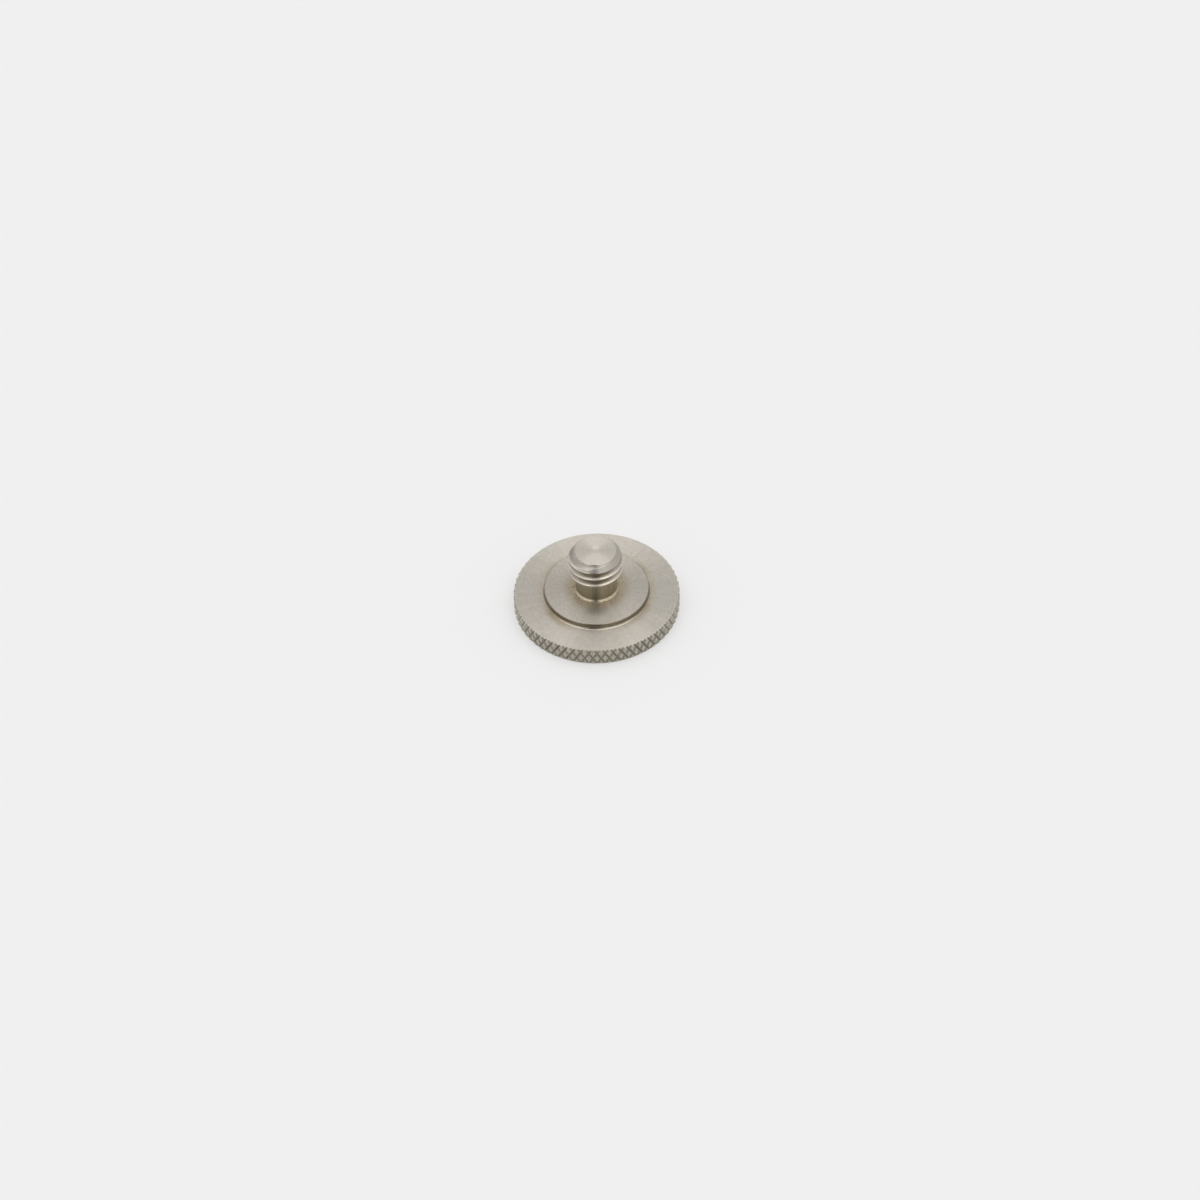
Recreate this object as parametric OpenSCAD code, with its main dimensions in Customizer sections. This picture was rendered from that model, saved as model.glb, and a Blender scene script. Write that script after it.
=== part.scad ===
// Knurled thumb screw, turned from one steel bar: a disc head with a diamond-knurled rim,
// a raised seat, a relieved neck and a short threaded stud with a chamfered end.
// Millimetres, Z up. It stands on its head with the stud up; the origin is the centre of the underside.

/* [Head] */
// Diameter of the disc over the knurl
head_d = 29.3; // [24:0.1:40]
// Thickness of the disc
head_h = 3.2; // [2.6:0.1:6]
// Chamfer round both edges of the disc
head_chamfer = 0.25; // [0.1:0.05:0.5]

/* [Knurl] */
// Grooves leaning each way round the rim
knurl_count = 64; // [48:1:72]
// Lean of the grooves from upright, degrees
knurl_angle = 30; // [20:1:40]
// Depth of the V grooves
knurl_depth = 0.3; // [0.15:0.05:0.4]
// Turn of the pattern about the axis, degrees
knurl_turn = 2; // [0:0.5:7]

/* [Seat] */
// Diameter of the raised seat
seat_d = 18.5; // [14:0.1:22]
// Height of the seat above the disc
seat_h = 1.1; // [0.6:0.05:3]
// Chamfer round the edge of the seat
seat_chamfer = 0.1; // [0.05:0.05:0.3]
// Fillet in the corner where the seat meets the disc
seat_fillet = 0.3; // [0.1:0.05:0.4]

/* [Thread] */
// Major diameter, 9.525 for a 3/8 inch thread
thread_d = 9.525; // [8:0.025:12]
// Pitch, 1.5875 for 16 turns to the inch
thread_pitch = 1.5875; // [1:0.0125:1.75]
// Length of thread at full diameter
thread_l = 3.15; // [2:0.05:12]
// Angle from +X at which the middle of the groove reaches the end, degrees
thread_exit = -40; // [-180:5:180]

/* [Neck and end] */
// Straight length of the neck
neck_l = 4.05; // [3:0.05:10]
// How far the neck lies below the root of the thread
neck_relief = 0.18; // [0.1:0.01:0.5]
// Fillet at the foot of the neck
neck_fillet = 0.45; // [0.2:0.05:0.6]
// Chamfer at 45 degrees round the end of the stud
end_chamfer = 1.2; // [0.8:0.05:1.6]

/* [Hidden] */
$fn = 96;
steel = [0.62, 0.60, 0.56];

head_r = head_d / 2;
seat_r = seat_d / 2;
thread_r = thread_d / 2;

// Thread form: flanks 30 degrees from the plane across the axis, crest flat of an eighth of the pitch
flank_angle = 30;
crest_flat = thread_pitch / 8;
root_depth_ratio = 0.6134;
root_r = thread_r - root_depth_ratio * thread_pitch;

// Heights, each one standing on the one below
neck_r = root_r - neck_relief;
seat_z = head_h + seat_h;
neck_top_z = seat_z + neck_l;
thread_low_z = neck_top_z + (thread_r - neck_r) * tan(flank_angle);
thread_top_z = thread_low_z + thread_l;
end_z = thread_top_z + end_chamfer;
end_r = thread_r - end_chamfer;

// How far a concave fillet is let into the metal beside it
let_in = 0.1;

// The filling of a concave corner at [x, y], open towards +X and +Y
module corner_fillet(x, y, r)
    translate([x, y]) difference() {
        translate([-let_in, -let_in]) square(r + let_in);
        translate([r, r]) circle(r);
    }

module half_section() {
    polygon([
        [0, 0], [head_r - head_chamfer, 0], [head_r, head_chamfer],
        [head_r, head_h - head_chamfer], [head_r - head_chamfer, head_h],
        [seat_r, head_h], [seat_r, seat_z - seat_chamfer], [seat_r - seat_chamfer, seat_z],
        [neck_r, seat_z], [neck_r, neck_top_z], [thread_r, thread_low_z],
        [thread_r, thread_top_z], [end_r, end_z], [0, end_z]
    ]);
    corner_fillet(seat_r, head_h, seat_fillet);
    corner_fillet(neck_r, seat_z, neck_fillet);
}

module turned_blank()
    rotate_extrude() half_section();

// Knurl: straight V grooves laid across the rim, leaning both ways.
// The two sets cross at this share of the thickness.
knurl_level = 0.4;
knurl_half_angle = 45;
knurl_reach = 2 * knurl_depth;
knurl_half_w = knurl_reach * tan(knurl_half_angle);
knurl_l = 1.5 * head_h / cos(knurl_angle);
knurl_skew = (knurl_level - 0.5) * head_h * tan(knurl_angle) / head_r * 180 / PI;

module knurl_groove(lean)
    rotate(lean * knurl_skew)
        translate([head_r - knurl_depth, 0, head_h / 2])
            rotate([lean * knurl_angle, 0, 0])
                linear_extrude(knurl_l, center = true)
                    polygon([[0, 0], [knurl_reach, knurl_half_w], [knurl_reach, -knurl_half_w]]);

module knurl_grooves()
    for (i = [0 : knurl_count - 1], lean = [-1, 1])
        rotate(knurl_turn + i * 360 / knurl_count) knurl_groove(lean);

// Thread: one right-hand groove wound round the stud. It starts in the open space beside the neck,
// climbs to the end and runs out through the chamfer.
thread_step = 6;
groove_clear = 0.1;
groove_r = thread_r + groove_clear;
root_half_w = (thread_pitch - crest_flat) / 2 - (thread_r - root_r) * tan(flank_angle);
groove_half_w = root_half_w + (groove_r - root_r) * tan(flank_angle);
groove_section = [[root_r, -root_half_w], [groove_r, -groove_half_w], [groove_r, groove_half_w], [root_r, root_half_w]];
corners = len(groove_section);

groove_over = thread_pitch / 4;
groove_under = 0.7 * thread_pitch;
groove_rise = end_z + groove_over - (neck_top_z - groove_under);
groove_steps = ceil(groove_rise / thread_pitch * 360 / thread_step);

// Height of the middle of the groove, and its angle, after each step down from above the end
function groove_angle(i) = thread_exit + groove_over / thread_pitch * 360 - (groove_steps - i) * thread_step;
function groove_z(i) = end_z + groove_over - (groove_steps - i) * thread_step / 360 * thread_pitch;
function ring_point(p, a, z) = [p[0] * cos(a), p[0] * sin(a), p[1] + z];

groove_points = [
    for (i = [0 : groove_steps], p = groove_section) ring_point(p, groove_angle(i), groove_z(i))
];
groove_sides = [
    for (i = [0 : groove_steps - 1], j = [0 : corners - 1])
        let (a = i * corners + j, b = i * corners + (j + 1) % corners)
            each [[a, b, b + corners], [a, b + corners, a + corners]]
];
groove_start = [for (j = [corners - 1 : -1 : 0]) j];
groove_finish = [for (j = [0 : corners - 1]) groove_steps * corners + j];

module thread_groove()
    polyhedron(groove_points, concat([groove_start], groove_sides, [groove_finish]), convexity = 8);

module thumb_screw()
    color(steel) difference() {
        turned_blank();
        knurl_grooves();
        thread_groove();
    }

thumb_screw();
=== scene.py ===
# %% [markdown]
# # A knurled thumb screw in turned steel
#
# The real screw is one piece of steel bar. A lathe faced it and turned the seat, the neck and the chamfers,
# a knurling tool pressed diamonds into its rim, and a threading tool wound one groove round its stud. This
# lesson makes it in the same order: first the outline that the lathe leaves, then the knurl and the thread
# as changes of radius, and last the steel, the light and the camera.
#
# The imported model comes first. It gives the frame that everything is built in, in metres, with the screw
# standing on its head and +Z along its axis.

import bpy
import numpy as np
from mathutils import Matrix


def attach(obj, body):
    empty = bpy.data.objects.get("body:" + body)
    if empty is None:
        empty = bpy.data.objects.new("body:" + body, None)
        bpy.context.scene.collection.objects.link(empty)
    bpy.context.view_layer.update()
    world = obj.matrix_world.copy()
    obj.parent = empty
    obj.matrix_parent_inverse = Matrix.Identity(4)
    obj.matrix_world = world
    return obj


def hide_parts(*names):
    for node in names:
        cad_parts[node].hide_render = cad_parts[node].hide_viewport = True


MM = 0.001  # one millimetre, in the frame's metres
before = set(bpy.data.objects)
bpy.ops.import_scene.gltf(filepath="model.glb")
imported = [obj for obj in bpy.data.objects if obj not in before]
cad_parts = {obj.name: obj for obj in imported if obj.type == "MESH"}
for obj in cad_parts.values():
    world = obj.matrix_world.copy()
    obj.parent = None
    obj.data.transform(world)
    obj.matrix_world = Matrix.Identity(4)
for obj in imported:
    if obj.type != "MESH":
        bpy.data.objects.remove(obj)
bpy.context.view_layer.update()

# %% [markdown]
# ## The sizes
#
# Sizes are in millimetres, as on a workshop drawing, and become metres only when the mesh is written. They
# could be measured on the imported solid, but a named size says what it belongs to, and the curves below need
# exact values. Heights stand on one another, so each is the one below it plus a length.

# %% Sizes of the head
head_r, head_h, head_chamfer = 14.65, 3.2, 0.25
seat_r, seat_h, seat_chamfer, seat_fillet = 9.25, 1.1, 0.1, 0.3
seat_z = head_h + seat_h
knurl_count, knurl_depth = 64, 0.3
knurl_lean, knurl_turn = np.radians(30), np.radians(2)
knurl_cross_z = 0.4 * head_h  # height at which two grooves cross at the angle knurl_turn
print("head %.1f mm across, %.1f mm thick, seat %.1f mm across" % (2 * head_r, head_h, 2 * seat_r))

# %% Sizes of the stud
thread_r, pitch, thread_len = 4.7625, 1.5875, 3.15
thread_depth = 0.6134 * pitch  # the rule for an outside thread of 60 degrees
flank = np.radians(30)
thread_exit = np.radians(-40)  # angle at which the groove's middle comes up to the end face
root_r = thread_r - thread_depth
neck_relief, neck_fillet, neck_h = 0.18, 0.45, 4.05
neck_r, neck_top_z = root_r - neck_relief, seat_z + neck_h
thread_low_z = neck_top_z + (thread_r - neck_r) * np.tan(flank)
thread_top_z = thread_low_z + thread_len
end_chamfer = 1.2
end_r, end_z = thread_r - end_chamfer, thread_top_z + end_chamfer
print("neck %.2f mm, root %.2f mm, height %.2f mm" % (2 * neck_r, 2 * root_r, end_z))

# %% [markdown]
# ## Pieces of outline
#
# Everything except the knurl and the thread is a shape of revolution: one outline carried round the axis. A
# Screw modifier could spin a curve. Here numpy multiplies the outline's radii by the cosines and sines of all
# angles at once, which leaves each ring where it is wanted. An outline is put together from a few kinds of
# piece: arcs, eased corners, level stretches and upright ones.

# %% Pieces of outline
def arc(centre, radius, start, stop, steps):
    """Points of an arc in the plane of radius and height: the centre plus the arc's radius times the cosine
    and sine of the angle, which runs from start to stop in degrees."""
    a = np.radians(np.linspace(start, stop, steps))
    return np.stack([centre[0] + radius * np.cos(a), centre[1] + radius * np.sin(a)], 1)


def broken_corner(before, corner, after, reach, steps=4):
    """A corner eased by a quadratic curve, from reach before the corner to reach behind it: the weights of
    start, corner and end are (1 - t) squared, twice t (1 - t), and t squared."""
    before, corner, after = (np.array(p, float) for p in (before, corner, after))
    start = corner + reach * (before - corner) / np.linalg.norm(before - corner)
    end = corner + reach * (after - corner) / np.linalg.norm(after - corner)
    t = np.linspace(0, 1, steps)[:, None]
    return (1 - t) ** 2 * start + 2 * t * (1 - t) * corner + t**2 * end


def level(radii, z):
    """Outline points at one height, one for each radius."""
    return np.stack([np.array(radii, float), np.full(len(radii), float(z))], 1)


def upright(r, heights):
    """Outline points on one radius, one for each height."""
    return np.stack([np.full(len(heights), float(r)), np.array(heights, float)], 1)


print("pieces of outline ready")

# %% [markdown]
# ## The head, the seat and the neck as outlines
#
# On the lathe these are flat faces, two fillets and a chamfer. Real metal has no perfectly sharp corners, so
# corners get small curves, and each flat face gets a ring close to its edge, which keeps its shading flat.
# A Bevel modifier could ease the corners, but it would ease the knurl and the thread as well.

# %% Outline of the head and the neck
edge_break, margin = 0.04, 0.05
flat_r = 14.22  # where the flat faces of the disc meet the knurled rim
wall_top = (seat_r, seat_z - seat_chamfer)
seat_lip = (seat_r - seat_chamfer, seat_z)

# The plain numbers in these lists only place rings along a straight stretch
under_side = level([1.5, 5, 9, 12.5, 14.0, flat_r], 0)
top_side = np.concatenate([
    level([flat_r, 14.0, 12.5, 11, 9.9, seat_r + seat_fillet + margin], head_h),
    arc((seat_r + seat_fillet, head_h + seat_fillet), seat_fillet, 270, 180, 6),
    upright(seat_r, [head_h + seat_fillet + margin, wall_top[1] - edge_break - margin]),
    broken_corner((seat_r, head_h), wall_top, seat_lip, edge_break),
    broken_corner(wall_top, seat_lip, (0, seat_z), edge_break),
    level([seat_lip[0] - edge_break - margin, 8.2, 6.8, 5.6, 4.6, neck_r + neck_fillet + margin], seat_z),
    arc((neck_r + neck_fillet, seat_z + neck_fillet), neck_fillet, 270, 180, 9),
    upright(neck_r, [seat_z + neck_fillet + margin, 5.6, 6.6, 7.6, neck_top_z - margin, neck_top_z]),
])
print("outline of the upper side:", len(top_side), "rings")

# %% [markdown]
# ## The end of the stud as an outline
#
# The end face is a small turned disc with a faint round mark in the middle, where the facing tool came to
# the centre of the bar. The mark is a hollow of a few hundredths of a millimetre: a half wave of a cosine
# gives it soft edges. It could be bump in the material, but as a shape it also shows on the bare mesh. The
# outline's first ring is the place where the threaded band ends.

# %% Outline of the end face
end_break = 0.05
mark_r, mark_soft, mark_depth = 0.62, 0.2, 0.03
wave = np.pi * np.linspace(0, 1, 6)
end_side = np.concatenate([
    broken_corner((thread_r, thread_top_z), (end_r, end_z), (0, end_z), end_break, 5),
    level([end_r - end_break - margin, 2.9, 2.2, 1.5], end_z),
    np.stack([mark_r + mark_soft * np.cos(wave), end_z - 0.5 * mark_depth * (1 - np.cos(wave))], 1),
    level([0.2], end_z - mark_depth),
])
print("end face at %.2f mm, %.2f mm across" % (end_z, 2 * end_r))

# %% [markdown]
# ## The knurl
#
# Two sets of V grooves lean across the rim, one to each side, and leave diamonds between them. They could be
# cut with boolean prisms, but a function of angle and height is quicker and cleaner: find how far each point
# of the rim lies from the nearest groove of each set, turn that into a depth, and keep the deeper of the two.

# %% Radius of the knurled rim
knurl_pitch = 2 * np.pi * head_r / knurl_count
groove_floor, diamond_ease = 0.03, 0.05


def groove_distance(angle, z, lean):
    """Distance in millimetres, square to the groove, to the nearest groove of one set: the place counted in
    groove spacings, less the nearest whole number, times the spacing and the cosine of the lean."""
    place = (angle - knurl_turn) * knurl_count / (2 * np.pi)
    place = place + lean * (z - knurl_cross_z) * np.tan(knurl_lean) / knurl_pitch
    return np.abs(place - np.round(place)) * knurl_pitch * np.cos(knurl_lean)


def nearest_groove(angle, z):
    """Distance to the nearest groove of either set, the smaller of the two."""
    return np.minimum(groove_distance(angle, z, 1), groove_distance(angle, z, -1))


def soft_min(a, b, width):
    """The smaller of two arrays; where they differ by less than width, a parabola rounds the crease."""
    h = np.clip(width - np.abs(a - b), 0, None) / width
    return np.minimum(a, b) - 0.25 * width * h**2


def rim_radius(angle, z):
    """The disc with its two chamfers, or the side of the nearest groove where that is smaller. The sides rise
    at 45 degrees, so the radius there is the groove's floor plus the distance from its middle."""
    blank = head_r - np.clip(np.maximum(head_chamfer - z, z - (head_h - head_chamfer)), 0, None)
    cut = head_r - knurl_depth + np.hypot(nearest_groove(angle, z), groove_floor)
    return soft_min(blank, cut, diamond_ease)


print("knurl: %.2f mm from groove to groove" % knurl_pitch)

# %% [markdown]
# ## The grid of the rim
#
# A function is only as crisp as the grid that samples it. This grid has twenty columns to a diamond, and its
# rows are spaced so that one column across and one row up follow the lean of the grooves. Each groove then
# runs exactly along the diagonals of the grid's squares, and no diamond gets a ragged edge.

# %% Grid of the rim
knurl_columns, most_rows = 20, 40
row_step = knurl_pitch / np.tan(knurl_lean) / knurl_columns
lattice = knurl_cross_z + row_step * np.arange(-most_rows, most_rows + 1)
lattice = lattice[(lattice > head_chamfer + margin) & (lattice < head_h - head_chamfer - margin)]
edge_rows = np.array([0, 0.4, 0.8, 1]) * head_chamfer
rim_rows = np.concatenate([edge_rows, lattice, (head_h - edge_rows)[::-1]])
rim_turns = np.arange(knurl_count * knurl_columns) / (knurl_count * knurl_columns)
rim_angle, rim_z = np.meshgrid(knurl_turn + 2 * np.pi * rim_turns, rim_rows)
rim_r = rim_radius(rim_angle, rim_z)
print("rim: %d rows of %d points" % rim_r.shape)

# %% [markdown]
# ## The thread
#
# A thread is a profile carried along a helix: a flat root, two flanks of 30 degrees and a flat crest. Where
# the chamfer or the relief lies inside the thread's own radius, the smaller radius wins, and that alone makes
# the groove run out on the chamfer as it does on the real screw. A Screw modifier could wind the profile too,
# but its end would still have to be cut to the chamfer.

# %% Radius of the threaded stud
crest_w = pitch / 8
root_half = 0.5 * (pitch - crest_w) - thread_depth * np.tan(flank)
root_ease, crest_ease = 0.12, 0.035


def thread_radius(share):
    """Radius at a share of the pitch above the groove's middle: root, straight flank and crest, with the
    corners between them eased."""
    off = pitch * np.abs(share - np.round(share))
    rising = root_r + (off - root_half) / np.tan(flank)
    rounded_root = -soft_min(-rising, np.full_like(rising, -root_r), root_ease)
    return soft_min(rounded_root, np.full_like(rising, thread_r), crest_ease)


def stud_blank(z):
    """Radius before threading: the relief's shoulder, the full diameter and the chamfer, the smallest."""
    shoulder = neck_r + (z - neck_top_z) / np.tan(flank)
    return np.minimum(np.minimum(shoulder, end_r + (end_z - z)), thread_r)


print("thread: root %.2f mm wide, crest %.2f mm wide" % (2 * root_half, crest_w))

# %% [markdown]
# ## The grid of the thread
#
# The rows of this grid are helices: each row keeps one place on the profile, such as the edge of the crest,
# and climbs by one pitch in a turn, so crest and root stay crisp all the way round. The rows lie closest
# where the profile turns. The first helix starts below the neck's top and the last one ends above the face.

# %% Grid of the thread
columns = 256
angle = knurl_turn + 2 * np.pi * np.arange(columns) / columns

# Hundredths of a millimetre along the axis, from the middle of the groove almost to the middle of the crest
half_rows = np.array([0, 6, 11, 15, 20, 27, 35, 43, 51, 58, 63, 66.5, 69.5, 73, 76]) / (100 * pitch)
row_share = np.concatenate([half_rows, [0.5], 1 - half_rows[:0:-1]])
rows_per_turn = len(row_share)
turns_below, edge_ease = 1.1, 0.015
helix_z = end_z - pitch * thread_exit / (2 * np.pi)
helix_z -= pitch * np.ceil((helix_z - neck_top_z) / pitch + turns_below)
turns = int(np.ceil((end_z - helix_z) / pitch))
share = (np.arange(turns)[:, None] + row_share).ravel()
thread_z = helix_z + pitch * (share[:, None] + angle / (2 * np.pi))
profile_r = np.broadcast_to(thread_radius(share)[:, None], thread_z.shape)
blank_r = stud_blank(thread_z)
thread_rad = soft_min(profile_r, blank_r, edge_ease)
print("thread: %d turns of %d helical rows" % (turns, rows_per_turn))

# %% [markdown]
# ## Sewing tools
#
# The rim needs 1280 columns and the rest is smooth with 256, so each band keeps its own grid. The bands are
# sewn together ring to ring, and the screw stays one closed skin, like the real one. Whole-array arithmetic
# counts off the triangles. Blender's Bridge Edge Loops would do the same by hand; here the rule is written
# down. Each point also carries how hollow and how rubbed its place is, for the steel to use later.

# %% Points and squares
points, hollows, rubs, triangles = [], [], [], []


def add_points(r, z, a, hollow=0.0, worn=0.0):
    """Adds points at radius times the cosine and sine of the angle, and the height; hollow is 0 on open faces
    and 1 at the bottom of a groove, and worn is 1 on a rubbed edge. Returns the points' numbers in the
    block's own shape."""
    r, z, a, hollow, worn = np.broadcast_arrays(r, z, a, hollow, worn)
    numbers = sum(len(p) for p in points) + np.arange(r.size).reshape(r.shape)
    points.append(np.stack([r * np.cos(a), r * np.sin(a), z], -1).reshape(-1, 3))
    hollows.append(hollow.ravel())
    rubs.append(worn.ravel())
    return numbers


def sew_squares(here, after, above, across, rising=True):
    """Two triangles for each square; where rising is true the split runs from the lower left corner to the
    upper right one, and elsewhere from the lower right to the upper left."""
    rising = np.broadcast_to(rising, here.shape)
    triangles.append(np.stack([here, after, np.where(rising, across, above)], -1).reshape(-1, 3))
    triangles.append(np.stack([np.where(rising, here, after), across, above], -1).reshape(-1, 3))


def sew_rings(ids, rising=True):
    """Sews closed rings, each to the next one along the outline."""
    after = np.roll(ids, -1, axis=1)
    sew_squares(ids[:-1], after[:-1], ids[1:], after[1:], rising)


print("points and squares ready")

# %% Poles and steps
def sew_pole(ring, pole, at_top):
    """Closes a ring with triangles to one point on the axis."""
    after = np.roll(ring, -1)
    first, second = (ring, after) if at_top else (after, ring)
    triangles.append(np.stack([first, second, np.full_like(ring, pole)], -1))


def sew_step(fine, coarse, fine_first):
    """Joins a ring of many points to one of few: between two coarse points, the first half of the fine edges
    is tied to the near one, the rest to the far one, and one more triangle fills the middle."""
    ratio = len(fine) // len(coarse)
    fine = np.append(fine, fine[0])
    near, far = coarse, np.roll(coarse, -1)
    start, middle = ratio * np.arange(len(coarse)), ratio // 2
    order = slice(None) if fine_first else slice(None, None, -1)
    steps = start[:, None] + np.arange(ratio)
    tips = np.where(np.arange(ratio) < middle, near[:, None], far[:, None])
    triangles.append(np.stack([fine[steps], fine[steps + 1], tips], -1).reshape(-1, 3)[:, order])
    triangles.append(np.stack([fine[start + middle], far, near], -1)[:, order])


print("poles and steps ready")

# %% [markdown]
# ## The head, the seat and the neck
#
# These bands follow the outline from the middle of the underside to the top of the neck. Where a square of
# the rim is split, the split runs along the groove that passes through it, so the diamonds get clean edges.
# The rim's grooves are marked as hollow, where grime collects and painted shade darkens them, and its upper
# edge as rubbed.

# %% Sew the head and the neck
groove_darkening, groove_side = 0.7, 1.1 * knurl_depth
edge_rub, chamfers_down = 0.6, 1.2  # rubbed from 1.2 chamfers below the upper face
rim_hollow = groove_darkening * np.clip(1 - nearest_groove(rim_angle, rim_z) / groove_side, 0, 1)
rim_worn = edge_rub * np.clip((rim_z - head_h) / head_chamfer + chamfers_down, 0, 1)
under_ids = add_points(under_side[:, :1], under_side[:, 1:], angle)
rim_ids = add_points(rim_r, rim_z, rim_angle, rim_hollow, rim_worn)
top_ids = add_points(top_side[:, :1], top_side[:, 1:], angle)
pole_id = add_points(np.zeros(1), 0.0, 0.0)
middle_angle = rim_angle[:-1] + np.pi / len(rim_turns)
middle_z = 0.5 * (rim_z[:-1] + rim_z[1:])
along_rise = groove_distance(middle_angle, middle_z, -1) <= groove_distance(middle_angle, middle_z, 1)
sew_pole(under_ids[0], pole_id[0], at_top=False)
sew_rings(under_ids)
sew_step(rim_ids[0], under_ids[-1], fine_first=False)
sew_rings(rim_ids, along_rise)
sew_step(rim_ids[-1], top_ids[0], fine_first=True)
sew_rings(top_ids)
print("head and neck:", sum(len(t) for t in triangles), "triangles")

# %% [markdown]
# ## Grime, painted shade and wear on the thread
#
# Grime and painted shade lie in the root of the thread and on the flank that faces up, and fade out towards
# the end. Crests are rubbed bright whenever the screw is turned in. Both could be painted by hand as vertex
# colours;
# here they follow from how far the thread was cut below the blank, so they stay right if the thread is
# changed.

# %% Grime, painted shade and wear on the thread
darkening_gain, darkening_start, darkening_fade = 3.0, 0.15, 0.4
root_share, crest_share, lighter_flank = 0.12, 0.5, 0.3
crest_rub = 0.05
cut_depth = (blank_r - thread_rad) / thread_depth
facing_down = (share % 1 > root_share) & (share % 1 < crest_share)
thread_hollow = np.clip(darkening_gain * cut_depth - darkening_start, 0, 1)
thread_hollow *= np.where(facing_down, lighter_flank, 1.0)[:, None]
thread_hollow *= np.clip((thread_top_z - thread_z) / darkening_fade + 1, 0, 1)
thread_worn = np.exp(-((profile_r - blank_r) / crest_rub) ** 2)
print("rubbed points on the thread:", int((thread_worn > 0.5).sum()))

# %% [markdown]
# ## The stud
#
# The thread's rows begin below the relief and end above the chamfer. Points past either end are not made:
# their numbers point to the ring that is there already, and triangles that shrink to nothing by that are
# dropped. At the last column each row is sewn to the row one pitch further on, which is how a helix closes
# on itself.

# %% Sew the stud
snap = 0.02  # a point that lies closer than this to the first or the last ring becomes part of it
end_ids = add_points(end_side[:, :1], end_side[:, 1:], angle)
tip_id = add_points(np.zeros(1), end_z - mark_depth, 0.0)
sew_rings(end_ids)
sew_pole(end_ids[-1], tip_id[0], at_top=True)
above_low = thread_z > neck_top_z + snap
made = above_low & (thread_z < end_side[0, 1] - snap)
spread = np.broadcast_to(angle, thread_z.shape)
thread_ids = np.where(above_low, end_ids[0], top_ids[-1])
thread_ids[made] = add_points(*(v[made] for v in (thread_rad, thread_z, spread, thread_hollow, thread_worn)))
past_end = np.broadcast_to(end_ids[0, 0], (rows_per_turn, 1))
next_turn = np.concatenate([thread_ids[rows_per_turn:, :1], past_end])
after_ids = np.concatenate([thread_ids[:, 1:], next_turn], axis=1)
sew_squares(thread_ids[:-1], after_ids[:-1], thread_ids[1:], after_ids[1:])
corners = np.concatenate(triangles)
first, second, third = corners.T
corners = corners[(first != second) & (second != third) & (third != first)]
print("whole screw:", len(corners), "triangles")

# %% [markdown]
# ## The mesh
#
# The arrays go into one mesh object in a single call, at the origin and unturned, so its own coordinates are
# the frame's. Faces are shaded smooth, and edges that really turn sharply are marked, so that flat faces stay
# flat and the diamonds stay crisp. In a closed skin every edge belongs to two triangles, and the last line
# counts the edges that do not.

# %% Make the mesh
sharp_angle = np.radians(38)
mesh = bpy.data.meshes.new("turned_screw")
mesh.from_pydata((np.concatenate(points) * MM).tolist(), [], corners.tolist())
mesh.attributes.new("hollow", "FLOAT", "POINT").data.foreach_set("value", np.concatenate(hollows))
mesh.attributes.new("worn", "FLOAT", "POINT").data.foreach_set("value", np.concatenate(rubs))
mesh.polygons.foreach_set("use_smooth", np.ones(len(mesh.polygons), bool))
mesh.set_sharp_from_angle(angle=sharp_angle)
mesh.update()
screw = bpy.data.objects.new("turned_screw", mesh)
bpy.context.scene.collection.objects.link(screw)
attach(screw, "root")
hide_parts("thumb_screw")
edge_ends = np.sort(corners[:, [0, 1, 1, 2, 2, 0]].reshape(-1, 2), axis=1)
edge_uses = np.unique(edge_ends, axis=0, return_counts=True)[1]
print("edges used other than twice:", int((edge_uses != 2).sum()))

# %% [markdown]
# ## Shader helpers
#
# A material is a small graph of nodes. It could be drawn in the Shader Editor; written as calls, it can be
# read from top to bottom. These helpers add a node with its settings, do arithmetic, and turn a number into a
# smooth step or a noise, so that each graph below reads like a recipe.

# %% Shader helpers
def add_node(tree, kind, inputs=(), **settings):
    """Adds a node, applies its settings, and fills its inputs: a socket is linked, a plain value is set."""
    node = tree.nodes.new(kind)
    for name, value in settings.items():
        setattr(node, name, value)
    for key, value in dict(inputs).items():
        if isinstance(value, bpy.types.NodeSocket):
            tree.links.new(value, node.inputs[key])
        else:
            node.inputs[key].default_value = value
    return node


def math_node(tree, operation, *values):
    """One step of arithmetic on sockets or numbers; returns the result's socket."""
    return add_node(tree, "ShaderNodeMath", dict(enumerate(values)), operation=operation).outputs[0]


def product(tree, result, *factors):
    """Multiplies sockets or numbers, one after the other."""
    for factor in factors:
        result = math_node(tree, "MULTIPLY", result, factor)
    return result


def ramp_node(tree, value, low, high, to_low=0.0, to_high=1.0):
    """A smooth step: to_low where the value is at or before low, to_high where it is at or past high."""
    inputs = {"Value": value, "From Min": low, "From Max": high, "To Min": to_low, "To Max": to_high}
    return add_node(tree, "ShaderNodeMapRange", inputs, interpolation_type="SMOOTHSTEP").outputs["Result"]


def noise_node(tree, place, scale, detail, roughness, along_line=False):
    """A noise from 0 to 1, at a place in space, or at a distance along a line."""
    inputs = {"W" if along_line else "Vector": place}
    inputs.update({"Scale": scale, "Detail": detail, "Roughness": roughness})
    dimensions = "1D" if along_line else "3D"
    return add_node(tree, "ShaderNodeTexNoise", inputs, noise_dimensions=dimensions).outputs["Fac"]


print("shader helpers ready")

# %% [markdown]
# ## Lathe marks
#
# A turning tool leaves fine rings on a face and fine lines round a cylinder. Both come from one number that
# changes along the outline: radius less a part of the height. A noise along that number gives Rings of uneven
# strength. A noise of the direction from the axis alone gives Rays, the faint spokes that a turned face shows
# under soft light, and one of direction and outline together gives Strokes, short arcs where the tool
# dragged. Mottle and Grain are plain noises in space, a coarse one and a fine one.
#
# Radius and Height are in millimetres. Side is 0 straight in front of the axis and behind it, and 1 straight
# to its left and right. All of this comes from Object coordinates, so it stays on the steel. An image could
# hold the marks too, but a node group has no pixels and no seam.

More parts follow.
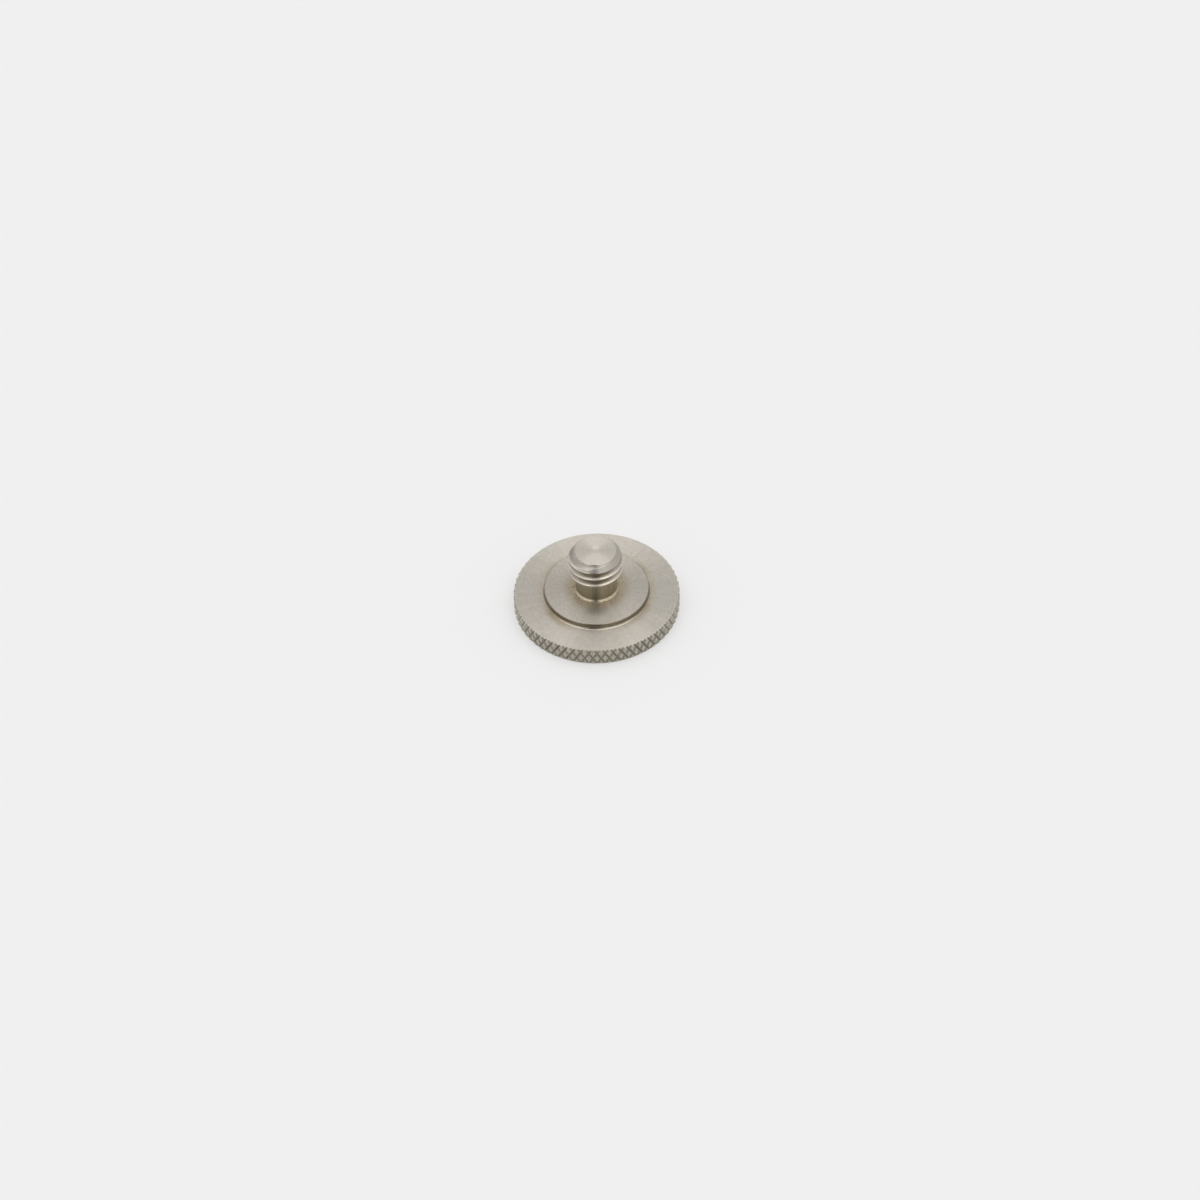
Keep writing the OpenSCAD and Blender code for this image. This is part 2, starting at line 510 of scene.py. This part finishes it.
# %% Place on the screw
mark_names = ["Radius", "Height", "Side", "Rings", "Rays", "Mottle", "Grain", "Strokes"]
marks = bpy.data.node_groups.new("lathe marks", "ShaderNodeTree")
for name in mark_names:
    marks.interface.new_socket(name, in_out="OUTPUT", socket_type="NodeSocketFloat")
place = add_node(marks, "ShaderNodeTexCoord").outputs["Object"]
parts = add_node(marks, "ShaderNodeSeparateXYZ", {0: place}).outputs
flat = add_node(marks, "ShaderNodeCombineXYZ", {"X": parts["X"], "Y": parts["Y"]}).outputs[0]
radius = add_node(marks, "ShaderNodeVectorMath", {0: flat}, operation="LENGTH").outputs["Value"]
radius_mm = math_node(marks, "MULTIPLY", radius, 1 / MM)
height_mm = math_node(marks, "MULTIPLY", parts["Z"], 1 / MM)
outward = add_node(marks, "ShaderNodeVectorMath", {0: flat}, operation="NORMALIZE").outputs["Vector"]
outward_parts = add_node(marks, "ShaderNodeSeparateXYZ", {0: outward}).outputs
side = math_node(marks, "ABSOLUTE", outward_parts["X"])
print("place on the screw:", len(marks.nodes), "nodes")

# %% Rings, rays, strokes and grain
height_part, stroke_step = -0.6, 0.45
along_outline = math_node(marks, "MULTIPLY_ADD", height_mm, height_part, radius_mm)
stroke_row = math_node(marks, "MULTIPLY", along_outline, stroke_step)
stroke_inputs = {"X": outward_parts["X"], "Y": outward_parts["Y"], "Z": stroke_row}
stroke_place = add_node(marks, "ShaderNodeCombineXYZ", stroke_inputs).outputs[0]
rings = noise_node(marks, along_outline, scale=7.0, detail=3.0, roughness=0.7, along_line=True)
rays = noise_node(marks, outward, scale=16.0, detail=3.0, roughness=0.6)
mottle = noise_node(marks, place, scale=420.0, detail=4.0, roughness=0.6)
fine_grain = noise_node(marks, place, scale=3600.0, detail=2.0, roughness=0.6)
strokes = noise_node(marks, stroke_place, scale=14.0, detail=3.0, roughness=0.65)
results = (radius_mm, height_mm, side, rings, rays, mottle, fine_grain, strokes)
add_node(marks, "NodeGroupOutput", dict(zip(mark_names, results)))
print("lathe marks group:", len(marks.nodes), "nodes")

# %% [markdown]
# ## Where things are on the steel
#
# The steel looks different from band to band: the knurled rim is a little darker than the faces and the end
# face shines a little more. The neck and the wall of the seat are the darkest, with painted shade that stands
# in for the dark reflections they show. Separate materials on separate faces would draw hard lines between
# them.
# Instead each band is a soft mask of height and radius, 1 on the band and 0 elsewhere. The plain numbers are
# distances in millimetres from a named height or radius.

# %% Bands of the steel
steel = bpy.data.materials.new("turned steel")
steel.use_nodes = True
tree = steel.node_tree
mark = add_node(tree, "ShaderNodeGroup", node_tree=marks).outputs


def where(name, low, high, to_low=0.0, to_high=1.0):
    """A smooth step of one of the group's outputs, from low to high."""
    return ramp_node(tree, mark[name], low, high, to_low, to_high)


def between(low, high, soft=0.05):
    """A mask that is 1 between two heights: a step up from the lower one, times a step down to the upper."""
    return product(tree, where("Height", low, low + soft), where("Height", high, high - soft))


below_face, above_face, crisp = 0.04, 0.2, 0.01
on_disc = between(head_h - 0.1, head_h + 0.1)
on_seat = between(seat_z - below_face, seat_z + above_face)
on_end = between(end_z - below_face, end_z + above_face, crisp)
on_chamfer = between(thread_top_z + 0.1, end_z - 0.03)
on_thread = between(thread_low_z - 0.6, end_z)
rim = product(tree, between(-0.1, head_h - 0.03), where("Radius", flat_r - 0.22, flat_r - 0.02))
# Painted shade goes on the wall of the seat
shaded_wall = between(head_h + 0.25, seat_z - 0.05)
lip = product(tree, between(seat_z - 0.2, seat_z + 0.2), where("Radius", seat_r - 0.2, seat_r - 0.1))
neck = product(
    tree, between(seat_z + 0.3, thread_low_z + 0.6, soft=0.3), where("Radius", neck_r + 0.5, neck_r + 0.1)
)
print("bands:", len(tree.nodes), "nodes")

# %% [markdown]
# ## Stain, grime and painted shade
#
# Handling leaves brown stain where a cloth does not reach: on the disc round the foot of the seat and round
# the neck. On this screw the stain on the disc is strongest at the left and right, where it turns from dark
# to warm. Painted shade lies over the stain round the neck and mixes with grime in the grooves. The corner at
# the foot of the seat is darker towards the left and right, and a painted grey patch on the seat in front of
# the neck stands in for the stud's dark reflection there. Each of these is a mask too, and some are broken up
# by a noise, so that they are not perfect rings.

# %% Stain and painted shade round the seat and the neck
stain_full, stain_reach = seat_r + 0.3, seat_r + 1.8
patches = where("Mottle", 0.3, 0.65, to_low=0.35)
more_at_sides = where("Side", 0.3, 0.85, to_low=0.25)
warm = product(tree, where("Radius", stain_reach, stain_full), on_disc, more_at_sides, patches)
foot = product(tree, warm, where("Side", 0.86, 0.97, to_low=1.0, to_high=0.15))
# Darker in the corner at the foot of the seat, most towards the left and right
corner_line = between(head_h + 0.01, head_h + 0.3, soft=0.03)
corner_reach = where("Radius", seat_r + 0.35, seat_r + 0.25)
corner = product(tree, corner_line, corner_reach, where("Side", 0.55, 0.9))
collar_full, collar_reach = neck_r + 0.6, 6.6
# Brown stain round the neck, with painted shade from the stud laid over it
collar_stain_and_shade = product(tree, where("Radius", collar_reach, collar_full), on_seat)
specks = product(tree, collar_stain_and_shade, where("Grain", 0.53, 0.66))
# Painted shade on the neck, in streaks that follow the rays
neck_shade = product(tree, neck, where("Rays", 0.35, 0.65, to_low=0.75))
print("stain:", len(tree.nodes), "nodes so far")

# %% Painted reflection in front of the neck, and grime with painted shade in the grooves
# A painted dark patch on the seat in front of the neck stands in for the stud's reflection there
reflection_x, reflection_y = -0.2, -5.8
reflection_flat = 1.6  # how many times wider than deep the painted reflection is
reflection_core, reflection_reach = 0.6 * MM, 2.8 * MM
darkening_falloff = 1.1
reflection_centre = (reflection_x * MM, reflection_flat * reflection_y * MM, seat_z * MM)
here = add_node(tree, "ShaderNodeTexCoord").outputs["Object"]
stretch = {0: here, 1: (1.0, reflection_flat, 1.0)}
stretched = add_node(tree, "ShaderNodeVectorMath", stretch, operation="MULTIPLY").outputs[0]
two_places = {0: stretched, 1: reflection_centre}
from_centre = add_node(tree, "ShaderNodeVectorMath", two_places, operation="DISTANCE").outputs["Value"]
off_fillet = where("Radius", neck_r + 0.3, neck_r + 0.5)
painted_reflection = product(tree, ramp_node(tree, from_centre, reflection_reach, reflection_core), on_seat, off_fillet)
# Grime and painted shade in the grooves, lighter at the stud's left and right
hollow = add_node(tree, "ShaderNodeAttribute", attribute_name="hollow").outputs["Fac"]
lighter_sides = product(tree, on_thread, where("Side", 0.35, 0.8, to_high=0.35))
grime_and_shade = math_node(tree, "POWER", hollow, darkening_falloff)
grime_and_shade = product(tree, grime_and_shade, math_node(tree, "SUBTRACT", 1.0, lighter_sides))
print("smear and grime:", len(tree.nodes), "nodes so far")

# %% [markdown]
# ## The colour of the steel
#
# Bare turned steel is a metal with a warm grey tint. The lathe marks make it a little lighter and darker from
# place to place, and their faint spokes are a painted sheen. Rubbed edges are brighter, with a painted glint
# that grows towards the left and right, the fillet at the foot of the neck carries a painted highlight, and
# each stain and each patch of painted shade multiplies the colour by a tint of its own. Layers of paint mixed
# over the steel would hide its shine; a tint keeps it a metal.

# %% Tone of the steel
fillet_highlight_gain = 0.25
worn = add_node(tree, "ShaderNodeAttribute", attribute_name="worn").outputs["Fac"]
# Painted sheen: faint spokes of light and dark round the axis
ray_sheen = where("Rays", 0.3, 0.7, to_low=0.965, to_high=1.025)
stroke_tone = where("Strokes", 0.3, 0.7, to_low=0.91, to_high=1.09)
ring_tone = product(tree, on_end, where("Rings", 0.3, 0.7, to_low=-0.04, to_high=0.12))
# Rubbed edges are brighter, and a painted glint makes them brighter still towards the left and right
wear_and_glint = product(tree, worn, where("Side", 0.5, 0.8, to_low=0.28, to_high=0.55))
# Painted highlight along the fillet at the foot of the neck, all round but for the far left and right
fillet_line = between(seat_z + 0.04, seat_z + 0.5, soft=0.04)
fillet_reach = where("Radius", neck_r + 0.5, neck_r + 0.42)
fillet_highlight = product(tree, fillet_line, fillet_reach, where("Side", 0.97, 0.85))
tone = product(tree, ray_sheen, stroke_tone)
tone = math_node(tree, "ADD", tone, ring_tone)
tone = math_node(tree, "ADD", tone, wear_and_glint)
tone = math_node(tree, "MULTIPLY_ADD", fillet_highlight, fillet_highlight_gain, tone)
print("tone:", len(tree.nodes), "nodes so far")

# %% Colour of the steel
bare_steel = (0.585, 0.545, 0.486)
MIX_FACTOR, MIX_FIRST, MIX_SECOND, MIX_RESULT = 0, 6, 7, 2  # socket numbers of a Mix node for colours

# Each row is a mask, the strength of its tint, and the tint
tints = [
    (on_seat, 0.1, (0.88, 0.87, 0.82)),
    (rim, 1.0, (0.84, 0.84, 0.81)),
    (warm, 0.8, (1.07, 0.99, 0.88)),
    (foot, 0.8, (0.80, 0.78, 0.64)),
    # stain round the neck, with painted shade from the stud
    (collar_stain_and_shade, 0.9, (0.86, 0.79, 0.62)),
    # painted dark reflection of the stud on the seat
    (painted_reflection, 0.9, (0.68, 0.68, 0.66)),
    # painted shade on the neck
    (neck_shade, 1.0, (0.60, 0.56, 0.42)),
    (specks, 0.9, (0.60, 0.50, 0.38)),
    (on_chamfer, 1.0, (0.85, 0.85, 0.84)),
    (lip, 1.0, (0.68, 0.66, 0.61)),
    # painted shade on the wall of the seat
    (shaded_wall, 0.9, (0.42, 0.38, 0.31)),
    # darker corner at the foot of the seat
    (corner, 0.9, (0.55, 0.50, 0.42)),
    # grime and painted shade in the grooves
    (grime_and_shade, 0.9, (0.40, 0.36, 0.28)),
]
shaded = {0: bare_steel, "Scale": tone}
colour = add_node(tree, "ShaderNodeVectorMath", shaded, operation="SCALE").outputs[0]
for mask, strength, tint in tints:
    mix = {MIX_FACTOR: product(tree, mask, strength), MIX_FIRST: colour, MIX_SECOND: (*tint, 1)}
    mix_node = add_node(tree, "ShaderNodeMix", mix, data_type="RGBA", blend_type="MULTIPLY")
    colour = mix_node.outputs[MIX_RESULT]
shader = tree.nodes["Principled BSDF"]
tree.links.new(colour, shader.inputs["Base Color"])
shader.inputs["Metallic"].default_value = 1.0
print("colour:", len(tints), "tints")

# %% [markdown]
# ## The shine of the steel
#
# The fine rings round the axis stretch every highlight along the radius. Real rings of that size would need
# millions of faces, so anisotropy stands for them: the shader is told how strong the grain is and, by a
# tangent round Z, which way it runs. The stud and the fillets are smoother than the flat faces, stain and
# grime are duller, and a faint bump lets the coarser rings be seen.

# %% Shine of the steel
face_rough, stud_rough, ring_rough = 0.34, 0.13, 0.12
ring_strength, ring_height = 0.35, 0.012 * MM
grain_strength, quarter_turn = 0.85, 0.25
on_stud = between(seat_z + 0.01, end_z - 0.005, soft=0.02)
on_wall = between(head_h + 0.01, seat_z - 0.01, soft=0.02)
smoother = math_node(tree, "MAXIMUM", on_stud, on_wall)
rough = ramp_node(tree, smoother, 0.0, 1.0, to_low=face_rough, to_high=stud_rough)
rough = math_node(tree, "MULTIPLY_ADD", mark["Rings"], ring_rough, rough)
dirty = math_node(tree, "MAXIMUM", foot, grime_and_shade)
for mask, change in [(on_chamfer, 0.19), (on_seat, 0.08), (neck, 0.14), (on_end, -0.08), (dirty, 0.12)]:
    rough = math_node(tree, "MULTIPLY_ADD", mask, change, rough)
tree.links.new(rough, shader.inputs["Roughness"])
shader.inputs["Anisotropic"].default_value = grain_strength
shader.inputs["Anisotropic Rotation"].default_value = quarter_turn
round_axis = add_node(tree, "ShaderNodeTangent", direction_type="RADIAL", axis="Z").outputs[0]
tree.links.new(round_axis, shader.inputs["Tangent"])
bump_inputs = {"Height": mark["Rings"], "Strength": ring_strength, "Distance": ring_height}
tree.links.new(add_node(tree, "ShaderNodeBump", bump_inputs).outputs[0], shader.inputs["Normal"])
mesh.materials.append(steel)
print("steel:", len(tree.nodes), "nodes")

# %% [markdown]
# ## The floor
#
# The screw stands on a pale surface without an edge. A wide plane just under it takes its faint shadow. A
# white plane under strong lamps would be as pale, but the lamps would burn out the steel, so the plane is a
# middle grey that also glows a little.

# %% The floor
floor_half, floor_z = 3.0, -0.02 * MM
paper_grey, paper_glow = 0.45, 0.45
floor_mesh = bpy.data.meshes.new("paper_floor")
square = np.array([[-1, -1, 0], [1, -1, 0], [1, 1, 0], [-1, 1, 0]]) * floor_half + [0, 0, floor_z]
floor_mesh.from_pydata(square.tolist(), [], [(0, 1, 2, 3)])
floor = bpy.data.objects.new("paper_floor", floor_mesh)
bpy.context.scene.collection.objects.link(floor)
paper = bpy.data.materials.new("pale paper")
paper.use_nodes = True
paper_inputs = paper.node_tree.nodes["Principled BSDF"].inputs
paper_inputs["Base Color"].default_value = (paper_grey, paper_grey, paper_grey, 1)
paper_inputs["Emission Color"].default_value = (1, 1, 1, 1)
paper_inputs["Emission Strength"].default_value = paper_glow
paper_inputs["Roughness"].default_value = 1.0
paper_inputs["Specular IOR Level"].default_value = 0.0
floor_mesh.materials.append(paper)
print("floor:", 2 * floor_half, "m wide")

# %% [markdown]
# ## The light
#
# Metal shows what surrounds it, so the surroundings are the light. They are those of a white tent: bright
# overhead, with a soft patch high up on the camera's side, dimmer near the ground, a little dimmer in a band
# on each side of the back, and dark where the camera looks in. Area lamps and cards could stand for each of
# these. Here the world's brightness is a function of direction, made of smooth steps along its axes: X to the
# right, Y away from the camera, Z up.

# %% The tent and its patch of light
world = bpy.data.worlds.new("white tent")
bpy.context.scene.world = world
world.use_nodes = True
sky = world.node_tree
sky.nodes.clear()
way = add_node(sky, "ShaderNodeTexCoord").outputs["Generated"]
axes = add_node(sky, "ShaderNodeSeparateXYZ", {0: way}).outputs
tent_walls = ramp_node(sky, axes["Z"], 0.0, 0.5, to_low=0.6, to_high=0.82)
tent_roof = ramp_node(sky, axes["Z"], 0.66, 0.98, to_high=0.7)
patch_rise = ramp_node(sky, axes["Z"], 0.86, 0.97, to_high=0.8)
patch_light = product(sky, patch_rise, ramp_node(sky, axes["Y"], 0.05, -0.2))
dome = math_node(sky, "ADD", tent_walls, tent_roof)
dome = math_node(sky, "ADD", dome, patch_light)
print("tent:", len(sky.nodes), "nodes")

# %% The dimmer bands and the gap
gap_x, gap_depth = -0.10, 0.9
sideways = math_node(sky, "ABSOLUTE", axes["X"])
bands = product(
    sky,
    ramp_node(sky, sideways, 0.1, 0.45, to_high=0.36),
    ramp_node(sky, sideways, 0.64, 0.48),
    ramp_node(sky, axes["Y"], 0.05, 0.5),
    ramp_node(sky, axes["Z"], 0.05, 0.4, to_low=0.3),
)
from_gap = math_node(sky, "ABSOLUTE", math_node(sky, "SUBTRACT", axes["X"], gap_x))
gap = product(
    sky,
    ramp_node(sky, from_gap, 0.05, 0.36, to_low=1.0, to_high=0.0),
    ramp_node(sky, axes["Y"], -0.15, -0.3),
    ramp_node(sky, axes["Z"], 0.995, 0.93),
)
beside_bands = math_node(sky, "SUBTRACT", 1.0, bands)
beside_gap = math_node(sky, "MULTIPLY_ADD", gap, -gap_depth, 1.0)
glow = product(sky, dome, beside_bands, beside_gap)
print("bands and gap:", len(sky.nodes), "nodes so far")

# %% [markdown]
# ## What the camera sees behind the screw
#
# A camera ray that misses the floor finds plain pale grey, whatever the tent looks like to the steel. Light
# Path tells the two apart. The Standard view shows colours as they are written.

# %% The world
pale = 0.856
seen = add_node(sky, "ShaderNodeLightPath").outputs["Is Camera Ray"]
unseen = math_node(sky, "SUBTRACT", 1.0, seen)
brightness = math_node(sky, "ADD", product(sky, glow, unseen), product(sky, seen, pale))
back = add_node(sky, "ShaderNodeBackground", {"Color": (1, 1, 1, 1), "Strength": brightness})
add_node(sky, "ShaderNodeOutputWorld", {"Surface": back.outputs[0]})
bpy.context.scene.view_settings.view_transform = "Standard"
print("world:", len(sky.nodes), "nodes")

# %% [markdown]
# ## The camera
#
# The camera stands half a metre away and looks down at 46 degrees. Its place comes from the ellipses of the
# disc and the seat: their widths give the scale, their heights the angle, and the small tilt of their long
# axes the roll. It could be aimed with a Track To constraint, but the roll would be lost, so its three
# directions are worked out and put into one matrix.

# %% The camera
elevation, roll = np.radians(46), np.radians(-1.45)
distance, aim_right, aim_up = 0.5, 0.6 * MM, -1.587 * MM
sensor_mm, focal_mm, near_clip = 36, 85.05, 0.01
level_right = np.array([1.0, 0.0, 0.0])
level_up = np.array([0.0, np.sin(elevation), np.cos(elevation)])
backward = np.array([0.0, -np.cos(elevation), np.sin(elevation)])
right = np.cos(roll) * level_right + np.sin(roll) * level_up
up = np.cos(roll) * level_up - np.sin(roll) * level_right
aim = np.array([0, 0, head_h * MM]) + aim_right * right + aim_up * up
lens = bpy.data.cameras.new("camera")
lens.sensor_width, lens.lens, lens.clip_start = sensor_mm, focal_mm, near_clip
camera = bpy.data.objects.new("camera", lens)
bpy.context.scene.collection.objects.link(camera)
pose = np.eye(4)
pose[:3] = np.stack([right, up, backward, aim + distance * backward], axis=1)
camera.matrix_world = Matrix(pose.tolist())
bpy.context.scene.camera = camera
print("camera at", [round(v, 3) for v in camera.matrix_world.translation])
